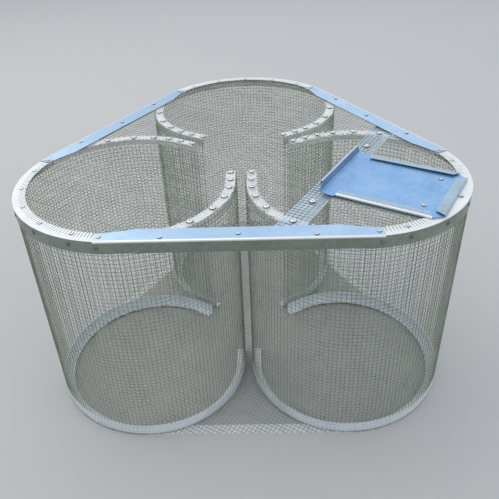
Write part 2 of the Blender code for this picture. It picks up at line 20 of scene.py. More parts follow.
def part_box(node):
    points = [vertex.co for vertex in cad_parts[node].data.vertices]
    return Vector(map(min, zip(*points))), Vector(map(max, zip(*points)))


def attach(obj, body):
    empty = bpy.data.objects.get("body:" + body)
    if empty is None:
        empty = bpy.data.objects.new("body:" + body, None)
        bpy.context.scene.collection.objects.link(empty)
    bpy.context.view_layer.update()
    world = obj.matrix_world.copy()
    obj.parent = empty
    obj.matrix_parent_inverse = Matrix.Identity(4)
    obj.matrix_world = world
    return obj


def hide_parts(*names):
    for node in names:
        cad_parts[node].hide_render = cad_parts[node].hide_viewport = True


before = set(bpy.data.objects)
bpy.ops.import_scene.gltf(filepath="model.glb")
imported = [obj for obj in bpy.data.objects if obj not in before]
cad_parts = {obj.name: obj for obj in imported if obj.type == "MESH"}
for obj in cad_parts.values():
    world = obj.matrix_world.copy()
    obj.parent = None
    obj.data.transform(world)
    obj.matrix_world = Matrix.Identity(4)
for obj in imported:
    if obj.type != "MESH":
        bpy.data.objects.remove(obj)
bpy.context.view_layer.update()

# %% [markdown]
# ## Sizes
#
# A dressed model only fits if it follows the CAD model's sizes. The trap's axis and its levels
# are read from the frame; sizes that no box shows are written once here, in metres.

# %% Sizes of the trap
lobe_spacing = 0.314         # between the centres of two lobes
corner_radius = 0.168        # outside of the rim's angle round a lobe
slit_width = 0.013
sheet = 0.0006
gap = 0.0003                 # between pieces that lie on each other
lap = sheet + gap
wire_pitch = 0.00635
wire_radius = 0.0004
leg_inset = 0.0017           # from a wall's outer face in to an angle's leg
curl_flange = 0.014          # width of the angles under the top netting

lobe_offset = lobe_spacing / math.sqrt(3.0)
wall_radius = corner_radius - lap
curl_radius = lobe_spacing / 2.0 - slit_width / 2.0
side_distance = lobe_offset / 2.0 + corner_radius

rim_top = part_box("rim_strip_front")[1].z
foot_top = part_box("floor_ring_left")[1].z
axis_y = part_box("rim_strip_front")[0].y + side_distance + lap
net_low, net_high = (corner.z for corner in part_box("top_netting"))
floor_low, floor_high = (corner.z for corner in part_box("floor_netting"))
lobe_angle = {"left": 210.0, "right": 330.0, "back": 90.0}
side_angle = {"front": 270.0, "left": 150.0, "right": 30.0}
hatch_turn = lobe_angle["right"]

# How near the axis each wall's two ends come, clockwise end first
front_reach, side_reach = 0.072, 0.080
slit_reach = {
    "left": (side_reach, front_reach),
    "right": (front_reach, side_reach),
    "back": (side_reach, side_reach),
}
print("rim top", round(rim_top, 4), "axis y", round(axis_y, 4))

# %% [markdown]
# ## Small tools
#
# Blender's operators act on what is selected, so each step clears the selection and then picks
# points by where they lie. Pieces of a lobe or a side are modelled pointing along +X from the
# trap's axis and turned into place about it. That turn is then applied to the mesh, so the
# finished object stands at the origin.

# %% Places and selections
near = 0.0002                # points this close count as being there


def polar(radius, degrees):
    return Vector((radius * math.cos(math.radians(degrees)),
                   radius * math.sin(math.radians(degrees)), 0.0))


def at_level(place, level):
    return place + Vector((0.0, 0.0, level))


def leave_edit():
    if bpy.context.object and bpy.context.object.mode != "OBJECT":
        bpy.ops.object.mode_set(mode="OBJECT")


def clear_selection():
    leave_edit()
    bpy.ops.object.select_all(action="DESELECT")


def make_active(piece):
    clear_selection()
    piece.select_set(True)
    bpy.context.view_layer.objects.active = piece


def edit_all():
    bpy.ops.object.mode_set(mode="EDIT")
    bpy.ops.mesh.select_all(action="SELECT")


def select_numbers(piece, numbers):
    """Select just the points with these numbers, for edit mode."""
    bpy.ops.object.mode_set(mode="EDIT")
    bpy.ops.mesh.select_mode(type="VERT")
    bpy.ops.mesh.select_all(action="DESELECT")
    leave_edit()
    for number in numbers:
        piece.data.vertices[number].select = True
    bpy.ops.object.mode_set(mode="EDIT")


def pick(piece, test):
    """Select just the points whose place passes the test."""
    leave_edit()
    select_numbers(piece, [point.index for point in piece.data.vertices if test(point.co)])

# %% Steps that every piece goes through
def apply_place(piece):
    make_active(piece)
    bpy.ops.object.transform_apply(location=True, rotation=True, scale=True)


def flat_sheet(length, width, centre, degrees=0.0):
    """A plane of this length and width, turned and moved to its place."""
    clear_selection()
    bpy.ops.mesh.primitive_plane_add(size=1.0)
    piece = bpy.context.object
    piece.scale = (length, width, 1.0)
    piece.rotation_euler.z = math.radians(degrees)
    piece.location = centre
    apply_place(piece)
    return piece


def extrude(move):
    bpy.ops.mesh.extrude_region_move(TRANSFORM_OT_translate={"value": tuple(move)})


def smooth(piece, degrees):
    make_active(piece)
    bpy.ops.object.shade_smooth_by_angle(angle=math.radians(degrees))


def place_round(piece, degrees):
    """Turn a piece that was modelled along +X about the trap's axis, into its place."""
    piece.rotation_euler.z = math.radians(degrees)
    piece.location = (0.0, axis_y, 0.0)
    apply_place(piece)


def copy_of(piece):
    make_active(piece)
    bpy.ops.object.duplicate(linked=False)
    return bpy.context.object


def fit_out(piece, name, material, slot_name, *nodes, body="trap"):
    """Name a piece, give it its finish, and hang it on its body in place of CAD nodes."""
    piece.name = name
    piece.data.name = name
    piece.data.materials.clear()
    piece.data.materials.append(material)
    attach(piece, body)
    if nodes:
        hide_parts(*nodes)
    print(name, len(piece.data.polygons), "faces")

# %% [markdown]
# ## Camera
#
# The photograph looks down on the trap from the front, from close by, so the perspective is
# strong. The numbers come from matching the rim and the floor's outline, with the distance from
# the trap's axis to a lobe's centre as the unit.

# %% Camera at the photograph's viewpoint
camera_yaw = 0.0324
camera_elevation = 0.5981
camera_roll = -0.0399
camera_distance = 5.6826 * lobe_offset
camera_aim = Vector((0.0284 * lobe_offset, axis_y, 0.9514 * lobe_offset))
focal_pixels = 586.52
image_pixels = 499.0

back = Vector((
    math.sin(camera_yaw) * math.cos(camera_elevation),
    -math.cos(camera_yaw) * math.cos(camera_elevation),
    math.sin(camera_elevation),
))
level_right = (-back).cross(Vector((0.0, 0.0, 1.0))).normalized()
level_up = level_right.cross(-back)
right = level_right * math.cos(camera_roll) + level_up * math.sin(camera_roll)
up = level_up * math.cos(camera_roll) - level_right * math.sin(camera_roll)

clear_selection()
bpy.ops.object.camera_add(location=camera_aim + back * camera_distance)
camera = bpy.context.object
camera.name = "photo_camera"
stand = Matrix((right, up, back)).transposed().to_4x4()
stand.translation = camera.location
camera.matrix_world = stand
camera.data.sensor_width = 36.0
camera.data.lens = focal_pixels / image_pixels * camera.data.sensor_width
camera.data.clip_start = 0.01
bpy.context.scene.camera = camera
print("lens", round(camera.data.lens, 1), "mm")

# %% [markdown]
# ## Galvanised steel
#
# Galvanised sheet is steel under zinc. Fresh zinc is bright and bluish, and shows crystals,
# called spangle, a few millimetres across. Dull patches come with handling. Voronoi cells give
# the crystals and noise the patches, in Object coordinates, so the pattern keeps its real size on
# every piece. The tone follows how far a face looks up: level faces get a paler tone, painted
# sunlight and, on the smooth finishes, a painted blue reflection of the sky; upright faces get a
# darker one, painted shade and a painted reflection of dark ground. Two attributes are painted
# over that: painted shade darkens the grooves, the rivets' feet and their holes, and painted light
# brightens the folds as painted highlights, the wires over bright angles, and the shaded inner
# faces of the rim's legs.

# %% Tools for shader nodes
def feed(material, value, socket):
    """Link an output into an input, or set the input to a plain value."""
    if isinstance(value, bpy.types.NodeSocket):
        material.node_tree.links.new(value, socket)
    else:
        socket.default_value = value


def new_node(material, kind, **values):
    """Add a node and feed its inputs by name."""
    node = material.node_tree.nodes.new(kind)
    for name, value in values.items():
        feed(material, value, node.inputs[name.replace("_", " ")])
    return node


def zinc_tone(material, pattern, tones):
    """A ramp from the dull to the bright tone, driven by the pattern."""
    ramp = new_node(material, "ShaderNodeValToRGB", Fac=pattern)
    dull, bright = ramp.color_ramp.elements
    dull.position, bright.position = 0.30, 0.78
    bright.color, dull.color = ((*tone, 1.0) for tone in tones)
    return ramp.outputs["Color"]


def blend_colour(material, factor, under, over):
    mix = new_node(material, "ShaderNodeMix")
    mix.data_type = "RGBA"
    # Inputs 6 and 7 and output 2 are the ones for colours
    for number, value in ((0, factor), (6, under), (7, over)):
        feed(material, value, mix.inputs[number])
    return mix.outputs[2]

# %% Crystals, patches and upward faces
crystal_share = 0.16         # how much the crystals add to the patches


def zinc_pattern(material, place, spangle):
    """Dull patches with crystals of this size, as one value."""
    crystals = new_node(material, "ShaderNodeTexVoronoi", Vector=place, Scale=1.0 / spangle)
    grey = new_node(material, "ShaderNodeSeparateColor", Color=crystals.outputs["Color"])
    patches = new_node(material, "ShaderNodeTexNoise", Vector=place,
                       Scale=24.0, Detail=8.0, Roughness=0.62)
    pattern = new_node(material, "ShaderNodeMath")
    pattern.operation = "MULTIPLY_ADD"
    for number, value in enumerate((grey.outputs["Red"], crystal_share, patches.outputs["Fac"])):
        feed(material, value, pattern.inputs[number])
    return pattern.outputs["Value"]


def looks_up(material):
    """0 on upright faces, 1 on level ones."""
    face = new_node(material, "ShaderNodeNewGeometry")
    axes = new_node(material, "ShaderNodeSeparateXYZ", Vector=face.outputs["Normal"])
    steep = new_node(material, "ShaderNodeMath", Value=axes.outputs["Z"])
    steep.operation = "ABSOLUTE"
    share = new_node(material, "ShaderNodeMapRange", Value=steep.outputs["Value"],
                     From_Min=0.25, From_Max=0.80)
    return share.outputs["Result"]

# %% One zinc finish
# White paint is painted light, near black is painted shade.
paints = {"painted_light": (0.97, 0.98, 0.98, 1.0), "painted_shade": (0.05, 0.055, 0.06, 1.0)}


def zinc(name, level, upright, metallic, roughness, spangle=0.004, bump=0.12):
    """A zinc-coated metal: bright and dull tone of level and of upright faces, roughness range."""
    material = bpy.data.materials.new(name)
    material.use_nodes = True
    place = new_node(material, "ShaderNodeTexCoord").outputs["Object"]
    pattern = zinc_pattern(material, place, spangle)
    # Mixed by how far a face looks up: painted light above, painted shade on upright faces.
    colour = blend_colour(material, looks_up(material), zinc_tone(material, pattern, upright),
                          zinc_tone(material, pattern, level))
    # Painted light and painted shade go over the tone, by the two point attributes.
    for attribute, paint in paints.items():
        amount = new_node(material, "ShaderNodeAttribute")
        amount.attribute_name = attribute
        colour = blend_colour(material, amount.outputs["Fac"], colour, paint)
    rough = new_node(material, "ShaderNodeMapRange", Value=pattern, From_Min=0.3, From_Max=0.8,
                     To_Min=roughness[1], To_Max=roughness[0])
    dents = new_node(material, "ShaderNodeTexNoise", Vector=place, Scale=45.0, Detail=3.0)
    relief = new_node(material, "ShaderNodeBump", Height=dents.outputs["Fac"],
                      Strength=bump, Distance=0.002)
    shader = material.node_tree.nodes["Principled BSDF"]
    feed(material, colour, shader.inputs["Base Color"])
    feed(material, metallic, shader.inputs["Metallic"])
    feed(material, rough.outputs["Result"], shader.inputs["Roughness"])
    feed(material, relief.outputs["Normal"], shader.inputs["Normal"])
    return material

# %% [markdown]
# ## The trap's finishes
#
# Each strip has its own finish. The straight strips, the strap and the door are smooth, and their
# level faces are painted blue, a painted reflection of the sky. The pleated angles were hammered,
# and are painted nearly white, a painted sunlit look. The rim's upright legs are painted dark, as
# painted shade and a painted reflection of dark ground. Each finish has a bright and a dull tone
# for level faces, then for upright ones.

# %% Nine finishes
# Dark greenish upright tones: painted shade and a painted reflection of green ground.
leg_tones = ((0.29, 0.32, 0.28), (0.19, 0.22, 0.18))
# Smooth sheet: its blue level tones are a painted reflection of the sky.
sheet_metal = zinc(
    "galvanised_sheet", ((0.53, 0.71, 0.91), (0.41, 0.59, 0.81)), leg_tones,
    metallic=0.75, roughness=(0.26, 0.42),
)
# Pleated rim angles: near-white level tones, a painted sunlit look.
crimped_metal = zinc(
    "galvanised_sheet_crimped", ((0.95, 0.96, 0.97), (0.83, 0.86, 0.88)), leg_tones,
    metallic=0.30, roughness=(0.34, 0.52),
)
# Foot rings: near-white and pale bluish tones, painted light against the netting's shade.
ring_metal = zinc(
    "galvanised_sheet_rings", ((0.97, 0.98, 0.99), (0.84, 0.87, 0.89)),
    ((0.84, 0.89, 0.94), (0.66, 0.72, 0.78)), metallic=0.25, roughness=(0.38, 0.55),
)
# Angles under the top: near white on every face, painted sunlight that hides their legs' shade.
curl_metal = zinc(
    "galvanised_sheet_curls", ((0.98, 0.985, 0.99), (0.92, 0.935, 0.95)),
    ((0.97, 0.975, 0.98), (0.88, 0.90, 0.91)), metallic=0.05, roughness=(0.40, 0.55),
)
# Strap: bright bluish tones, painted light and a painted reflection of the sky.
strap_metal = zinc(
    "galvanised_sheet_strap", ((0.74, 0.86, 0.98), (0.60, 0.74, 0.90)), leg_tones,
    metallic=0.45, roughness=(0.30, 0.45),
)
# Tray: blue-grey level tones, a painted sky reflection, and greyer upright ones, painted shade.
tray_metal = zinc(
    "galvanised_sheet_tray", ((0.48, 0.61, 0.72), (0.35, 0.47, 0.58)),
    ((0.50, 0.56, 0.62), (0.36, 0.41, 0.46)), metallic=0.65, roughness=(0.26, 0.42),
)
# Door: blue level tones, a painted sky reflection, and dark blue upright ones, painted shade.
door_metal = zinc(
    "galvanised_door_sheet", ((0.34, 0.56, 0.87), (0.22, 0.42, 0.75)),
    ((0.28, 0.40, 0.52), (0.19, 0.29, 0.40)), metallic=0.70, roughness=(0.24, 0.36),
    spangle=0.006, bump=0.15,
)
# Wire: lighter tops are painted light, darker sides painted shade, the green a painted reflection
# of grass.
wire_metal = zinc(
    "galvanised_wire", ((0.52, 0.55, 0.48), (0.30, 0.33, 0.27)),
    ((0.37, 0.41, 0.34), (0.20, 0.23, 0.17)), metallic=0.60, roughness=(0.28, 0.45), bump=0.05,
)
# Rivets: white level tones are a painted glint, dark upright ones painted shade.
rivet_metal = zinc(
    "aluminium_rivet", ((0.97, 0.97, 0.98), (0.86, 0.87, 0.89)),
    ((0.24, 0.27, 0.32), (0.15, 0.18, 0.22)), metallic=0.60, roughness=(0.20, 0.32),
    spangle=0.003, bump=0.05,
)
print("9 finishes")

# %% Paint wear or grime on a piece
def brush(piece, attribute, test, value=1.0):
    """Paint a point attribute where the test holds; elsewhere it stays as it is."""
    leave_edit()
    layer = piece.data.attributes.get(attribute)
    if not layer:
        layer = piece.data.attributes.new(attribute, "FLOAT", "POINT")
    for point in piece.data.vertices:
        if test(point.co):
            layer.data[point.index].value = value

# %% [markdown]
# ## Wire netting
#
# Hardware cloth is welded from straight wires at a quarter of an inch, in two layers, and then
# dipped in zinc. A wire is a thin round bar, so a curve with a round bevel is the natural tool:
# each wire is one spline, a whole panel is one curve, and that is made a mesh. Wires that lie on
# a bright angle catch the light with it, so they get a painted highlight there. The paint sits on
# a wire's points, so a straight wire gets two more of them where the paint begins or ends.

# %% Round wires as one mesh
paint_step = 0.001           # the paint fades out over this length of a wire


def with_borders(run, test):
    """A straight wire's points, with one on either side of each place where the test changes."""
    first, last = run
    count = max(1, int((last - first).length / paint_step))
    spots = [first.lerp(last, number / count) for number in range(count + 1)]
    tested = [test(spot) for spot in spots]
    kept = {0, count}
    for number in range(count):
        if tested[number] != tested[number + 1]:
            kept |= {number, number + 1}
    return [spots[number] for number in sorted(kept)]


def new_wires(name, runs, bright):
    """One mesh of round wires, one through each run, with painted light where bright(point)."""
    curve = bpy.data.curves.new(name, "CURVE")
    curve.dimensions = "3D"
    curve.bevel_depth = wire_radius
    curve.bevel_resolution = 1
    curve.use_fill_caps = True
    for run in runs:
        spline = curve.splines.new("POLY")
        spline.points.add(len(run) - 1)
        for knot, point in zip(spline.points, run):
            knot.co = (*point, 1.0)
    wires = bpy.data.objects.new(name, curve)
    bpy.context.collection.objects.link(wires)
    make_active(wires)
    bpy.ops.object.convert(target="MESH")
    wires = bpy.context.object
    knots = [point for run in runs for point in run]
    tree = KDTree(len(knots))
    for number, point in enumerate(knots):
        tree.insert(point, number)
    tree.balance()
    tested = [bright(point) for point in knots]
    # Painted highlight on the wire's points that lie over bright sheet.
    brush(wires, "painted_light", lambda co: tested[tree.find(co)[1]])
    return wires

# %% [markdown]
# ## Plan of a curled wall
#
# The walls, the angles bent round them and the bright wires over those angles all follow one
# line. It is three arcs that meet without a corner: a quarter turn in from one slit, a third of a
# turn round the lobe, and a quarter turn back to the other slit, with a short straight end each.

# %% The line of a wall
lobe_centre = polar(lobe_offset, 0.0)
curl_centre = {end: lobe_centre + polar(wall_radius - curl_radius, 60.0 * end) for end in (-1, 1)}
curl_tip = curl_centre[-1] + polar(curl_radius, -150.0)
arcs = [
    (curl_centre[-1], curl_radius, -150.0, -60.0),
    (lobe_centre, wall_radius, -60.0, 60.0),
    (curl_centre[1], curl_radius, 60.0, 150.0),
]


def slit_length(reach):
    """Straight stretch between the curl and an end that comes this near the axis."""
    return curl_tip.dot(polar(1.0, -60.0)) - reach


def wall_plan(inset, reaches, step=3.0):
    """Points of the wall's line, this far inside its outer face, slit to slit."""
    points = [curl_tip - polar(slit_length(reaches[0]), -60.0) + polar(inset, 30.0)]
    for centre, radius, start, end in arcs:
        steps = round((end - start) / step)
        for number in range(0 if start < -60.0 else 1, steps + 1):
            points.append(centre + polar(radius - inset, start + (end - start) * number / steps))
    points.append(points[-1] - polar(slit_length(reaches[1]), 60.0))
    return points


def equal_steps(line, pitch):
    """Points along a line at equal distances."""
    spots, spare = [], pitch / 2.0
    for here, after in zip(line, line[1:]):
        length = (after - here).length
        while spare <= length:
            spots.append(here.lerp(after, spare / length))
            spare += pitch
        spare -= length
    return spots

# %% [markdown]
# ## Flat netting
#
# The top and the floor are two sets of straight wires, one a wire's thickness above the other.
# Each wire is cut where its line meets the panel's outline, and those of the top also stop at the
# door's opening. The curls' angles lie just under the top, so the wires over them get a painted
# highlight.

# %% Outline of the flat netting
def rounded_outline(radius, steps=16):
    """Plan of the rounded triangle, anticlockwise about the trap's axis, hatch along +X."""
    points = []
    for turn in (0.0, 120.0, 240.0):
        for step in range(steps + 1):
            points.append(polar(lobe_offset, turn) + polar(radius, turn - 60 + 120 * step / steps))
    return points


def chord(outline, start, along):
    """Where a line enters and leaves a convex outline, as distances along it."""
    enter, leave = -1.0, 1.0             # metres, far outside the trap
    for here, after in zip(outline, outline[1:] + outline[:1]):
        edge = after - here
        inwards = Vector((-edge.y, edge.x, 0.0))
        depth, gain = inwards.dot(start - here), inwards.dot(along)
        if abs(gain) < 1e-12:            # this edge runs along the line
            if depth < 0.0:
                return None
        elif gain > 0.0:
            enter = max(enter, -depth / gain)
        else:
            leave = min(leave, -depth / gain)
    return (enter, leave) if leave - enter > wire_pitch / 2.0 else None

# %% Where a wire lies over an angle
def on_curl(place, length):
    """Whether a place, lobe along +X, lies over the first curl's angle."""
    spot = place - curl_centre[-1]
    if -150.0 < math.degrees(math.atan2(spot.y, spot.x)) < -60.0:
        depth = curl_radius - spot.length
    else:
        spot = place - curl_tip
        depth = spot.dot(polar(1.0, 30.0))
        if not -length < spot.dot(polar(1.0, -60.0)) <= 0.0:
            return False
    return leg_inset < depth < leg_inset + curl_flange


def over_angle(point):
    """Whether a point of a flat panel, hatch along +X, lies over any curl's angle."""
    for lobe, degrees in lobe_angle.items():
        turned_back = Matrix.Rotation(math.radians(hatch_turn - degrees), 3, "Z")
        place = turned_back @ Vector((point.x, point.y, 0.0))
        for side, reach in zip((1.0, -1.0), slit_reach[lobe]):
            if on_curl(Vector((place.x, side * place.y, 0.0)), slit_length(reach)):
                return True
    return False

# %% Both layers of a flat panel
waver = 0.0002               # how far a wire may stray from its even place
layer_lift = 0.75            # wire radii from a flat panel's middle to each layer
inner_layer = 2.5            # wire radii from a wall's face in to its level wires


def flat_netting(name, level, opening):
    """Lay both layers about this level; the wires stop at the opening's edges."""
    outline = rounded_outline(wall_radius - wire_radius)
    dice = random.Random(7)
    runs = []
    for layer, degrees in ((-1.0, 0.0), (1.0, 90.0)):
        along = polar(1.0, degrees)
        across = polar(1.0, degrees + 90.0)
        count = int(2.0 * side_distance / wire_pitch)
        for number in range(-count, count + 1):
            offset = (number + 0.5) * wire_pitch + dice.uniform(-waver, waver)
            start = at_level(across * offset, level + layer * wire_radius * layer_lift)
            reach = chord(outline, start, along)
            if not reach:
                continue
            stops = reach
            if opening:
                low, high = opening
                side_low, side_high = (low.y, high.y) if layer < 0 else (-high.x, -low.x)
                if side_low < offset < side_high:
                    cut = (low.x, high.x) if layer < 0 else (low.y, high.y)
                    stops = [reach[0], cut[0], cut[1], reach[1]]
            for first, last in zip(stops[::2], stops[1::2]):
                if last - first > wire_pitch / 2.0:
                    runs.append([start + along * first, start + along * last])
    # Top wires over the curls' angles get a painted highlight.
    bright = over_angle if opening else lambda point: False
    panel = new_wires(name, [with_borders(run, bright) for run in runs], bright)
    place_round(panel, hatch_turn)
    smooth(panel, 60.0)
    return panel

# %% Netting of the floor and of the top, with its opening
opening_length = 0.1263
opening_width = 0.112
hatch_offset = -0.006        # from the lobe's middle line to the opening's
opening_start = lobe_offset + 0.0079
opening_end = opening_start + opening_length
opening_low = hatch_offset - opening_width / 2.0
opening_high = hatch_offset + opening_width / 2.0
opening = (Vector((opening_start, opening_low, 0.0)), Vector((opening_end, opening_high, 0.0)))

floor_netting = flat_netting("floor_wires", (floor_low + floor_high) / 2.0, None)
fit_out(floor_netting, "floor_wires", wire_metal, "galvanised_wire", "floor_netting")
top_netting = flat_netting("top_wires", (net_low + net_high) / 2.0, opening)
fit_out(top_netting, "top_wires", wire_metal, "galvanised_wire", "top_netting")

# %% [markdown]
# ## Curled walls
#
# A wall is one strip of the same netting, bent to its plan. Upright wires stand at equal steps
# along that line, and level wires follow it. At the foot they lie on a bright angle, and get a
# painted highlight up to its top.

# %% Wires of the curled walls
def wall_wires(name, low, high, reaches):
    """Upright wires outside, level wires inside, each set a wire's thickness apart."""
    dice = random.Random(11)
    runs = []
    levels = (low, foot_top - paint_step / 2.0, foot_top + paint_step / 2.0, high)
    for spot in equal_steps(wall_plan(wire_radius, reaches), wire_pitch):
        runs.append([at_level(spot, level) for level in levels])
    line = wall_plan(wire_radius * inner_layer, reaches)
    for number in range(int((high - low) / wire_pitch)):
        level = low + (number + 0.5) * wire_pitch + dice.uniform(-waver, waver)
        runs.append([at_level(point, level) for point in line])
    # Painted highlight on the wires below the top of the foot's angle.
    wires = new_wires(name, runs, lambda point: point.z < foot_top)
    smooth(wires, 60.0)
    return wires


for lobe, degrees in lobe_angle.items():
    low, high = (corner.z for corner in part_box("lobe_wall_" + lobe))
    wires = wall_wires("wall_wires_" + lobe, low, high, slit_reach[lobe])
    place_round(wires, degrees)
    fit_out(wires, "wall_wires_" + lobe, wire_metal, "galvanised_wire", "lobe_wall_" + lobe)

# %% [markdown]
# ## Pleated angles
#
# An angle is a strip of sheet folded along its length. To lead it round a curve, the maker
# crimps the inner flange into small pleats, which take up the length that the inside doesn't
# need. From above they show as thin dark grooves, and shade is painted into them too. Here a short
# flat stretch is modelled first and its outer edge is extruded as the upright leg. The stretch's
# end is then spun about each arc's centre, with six steps for each pleat: five stay flat and one
# becomes the groove. Solidify gives the folded plane its thickness.

# %% Sweep an angle along the wall's line
pleat_pitch = 0.0047
pleat_steps = 6


def start_angle(point, heading, length, leg, flange, fold):
    """The first straight stretch of an angle: a flange, and a leg extruded by fold."""
    ahead, inwards = polar(1.0, heading), polar(1.0, heading + 90.0)
    middle = point + ahead * (length / 2.0) + inwards * (leg + flange / 2.0)
    piece = flat_sheet(length, flange, middle, heading)
    edit_all()
    bpy.ops.mesh.subdivide(number_cuts=1)
    pick(piece, lambda co: (co - point).dot(inwards) < leg + flange / 8.0)
    extrude((0.0, 0.0, fold))
    pick(piece, lambda co: (co - point).dot(ahead) > length * 0.9)
    return piece


def arc_steps(radius, start, end):
    return pleat_steps * round(radius * math.radians(end - start) / pleat_pitch)


def spin_on(arc):
    centre, radius, start, end = arc
    bpy.ops.mesh.spin(
        steps=arc_steps(radius, start, end), angle=-math.radians(end - start),
        center=centre, axis=(0.0, 0.0, 1.0),
    )


print(arc_steps(*arcs[1][1:]) // pleat_steps, "pleats round a corner")

# %% Press the pleats
def pleat_step(co, arc, depth):
    """Which step of the spin a flange point belongs to, or None where it isn't on this arc."""
    centre, radius, start, end = arc
    spot = co - centre
    if abs(math.hypot(spot.x, spot.y) - (radius - depth)) > near or abs(co.z) > near / 2.0:
        return None
    turn = math.degrees(math.atan2(spot.y, spot.x))
    steps = arc_steps(radius, start, end)
    step = round((turn - start) / (end - start) * steps)
    return step if 0 < step < steps else None


def crimp(piece, used_arcs, leg, flange, rise, flat=lambda co: False, shade_amount=1.0):
    """Press grooves into the flange, deepest at its free edge, or raise what lies between."""
    brush(piece, "painted_shade", lambda co: False)    # only adds the attribute
    for depth, share in ((leg + flange, 1.0), (leg + flange / 2.0, 0.6)):
        grooves, lands = set(), set()
        leave_edit()
        for point in piece.data.vertices:
            for arc in used_arcs:
                step = pleat_step(point.co, arc, depth)
                if step is not None and not flat(point.co):
                    in_groove = step % pleat_steps == pleat_steps // 2
                    (grooves if in_groove else lands).add(point.index)
        # Painted shade in the grooves, strongest at the free edge.
        for number in grooves:
            piece.data.attributes["painted_shade"].data[number].value = share * shade_amount
        select_numbers(piece, grooves if rise < 0.0 else lands)
        bpy.ops.transform.translate(value=(0.0, 0.0, rise * share))
    leave_edit()

# %% Give a folded plane its thickness
def face_up(piece):
    """Merge doubles and turn the sheet's faces so that its widest level face looks up."""
    make_active(piece)
    edit_all()
    bpy.ops.mesh.remove_doubles(threshold=0.00002)
    bpy.ops.mesh.normals_make_consistent(inside=False)
    leave_edit()
    widest = max(piece.data.polygons, key=lambda face: abs(face.normal.z) * face.area)
    if widest.normal.z < 0.0:
        edit_all()
        bpy.ops.mesh.flip_normals()
        leave_edit()


def finish_sheet(piece, level, side, thickness=sheet, crease=25.0):
    """Thicken a folded plane and lift it to its level; side is -1 where it is the top face."""
    face_up(piece)
    solid = piece.modifiers.new("Sheet", "SOLIDIFY")
    solid.thickness = thickness
    solid.offset = side
    solid.use_even_offset = True
    bpy.ops.object.modifier_apply(modifier=solid.name)
    piece.location.z = level
    apply_place(piece)
    smooth(piece, crease)

# %% Rings at the foot of the walls
ring_flange = 0.013
ring_pleat = 0.0013          # how far its pleats rise
for lobe, degrees in lobe_angle.items():
    low, high = (corner.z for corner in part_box("floor_ring_" + lobe))
    lengths = [slit_length(reach) for reach in slit_reach[lobe]]
    wall_start = curl_tip - polar(lengths[0], -60.0)
    ring = start_angle(wall_start, -60.0, lengths[0], leg_inset, ring_flange, high - low)
    for arc in arcs:
        spin_on(arc)
    extrude(polar(-lengths[1], 60.0))
    crimp(ring, arcs, leg_inset, ring_flange, ring_pleat)
    finish_sheet(ring, low, 1.0)
    place_round(ring, degrees)
    fit_out(ring, "floor_angle_" + lobe, ring_metal, "galvanised_sheet", "floor_ring_" + lobe)

# %% Angles under the top netting
curl_groove = -0.0012        # how far their grooves are pressed down
curl_names = {
    "left": ("rear", "front"), "right": ("front", "rear"), "back": ("right", "left"),
}
for lobe, degrees in lobe_angle.items():
    for mirrored, place in enumerate(curl_names[lobe]):
        node = "curl_angle_" + lobe + "_" + place
        low, high = (corner.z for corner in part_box(node))
        length = slit_length(slit_reach[lobe][mirrored])
        wall_start = curl_tip - polar(length, -60.0)
        curl = start_angle(wall_start, -60.0, length, leg_inset, curl_flange, low - high)
        spin_on(arcs[0])
        # Less painted shade in the grooves of the angles under the top netting.
        crimp(curl, arcs[:1], leg_inset, curl_flange, curl_groove, shade_amount=0.4)
        if mirrored:
            curl.scale.y = -1.0
            apply_place(curl)
        finish_sheet(curl, high, -1.0)
        place_round(curl, degrees)
        name = "top_angle_" + lobe + "_" + place
        fit_out(curl, name, curl_metal, "galvanised_sheet", node)

# %% Rim angles round the corners
corner_flange = 0.018
corner_pleat = 0.0011
corner_top = rim_top - lap
corner_stretch = 0.001       # straight start of the sweep
strip_overlap = 0.021        # how far a straight strip lies over a corner
side_fold = 0.012            # from the opening's edge to the tray's
tray_half = opening_width / 2.0 + side_fold
margin = 0.002


def under_strip(co):
    """Where a strip's end lies on a corner's flange, the flange stays flat."""
    spot = co - lobe_centre
    return min(spot.dot(polar(1.0, 30.0)), spot.dot(polar(1.0, -30.0))) < strip_overlap + margin


def under_strip_or_tray(co):
    return under_strip(co) or abs(co.y - hatch_offset) < tray_half + margin


def inside_leg(co):
    """The inner side of a corner's leg, where painted light lifts the shade under the flange."""
    leg_middle = wall_radius + lap - sheet / 2.0
    return co.z < rim_top - 0.001 and (co - lobe_centre).xy.length < leg_middle


for lobe, degrees in lobe_angle.items():
    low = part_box("rim_corner_" + lobe)[0].z
    corner_start = lobe_centre + polar(wall_radius, -60.0) - polar(corner_stretch, 30.0)
    corner = start_angle(
        corner_start, 30.0, corner_stretch, -lap, corner_flange, low - corner_top
    )
    spin_on(arcs[1])
    crimp(corner, arcs[1:2], -lap, corner_flange, corner_pleat,
          under_strip_or_tray if lobe == "right" else under_strip)
    finish_sheet(corner, corner_top, -1.0)
    # Painted light on the shaded inner face of the leg.
    brush(corner, "painted_light", inside_leg)
    place_round(corner, degrees)
    fit_out(corner, "rim_angle_" + lobe, crimped_metal, "galvanised_sheet", "rim_corner_" + lobe)

# %% [markdown]
# ## Straight rim strips
#
# Three straight angle strips lie over the corner angles. They are cut and folded by hand, so
# their edges waver, the fold is a small round, and the flange is cut slanting towards each end.
# A strip is a plane that is extruded in steps, cut along two slanting planes with bisect, folded
# down at its outer edge and bevelled. Two more cuts beside the fold keep its painted highlight
# narrow.

# %% Model one strip for each side
strip_flange = 0.028
strip_end_flange = 0.018
strip_taper = 0.053          # length of the slanting cut
strip_face = side_distance + lap
strip_half = lobe_spacing / 2.0 + strip_overlap
edge_zone = 0.010            # points further in than this waver
edge_waver = 0.00022
leg_waver = 0.00025
tip_length = 0.006           # this much of each end is bent up
tip_lift = 0.0007
fold_round = 0.0013
at_fold = 0.0001
flange_cut, leg_cut = 0.0035, 0.0030     # from the fold to the two cuts beside it
highlight_flange, highlight_leg = 0.0018, 0.0015


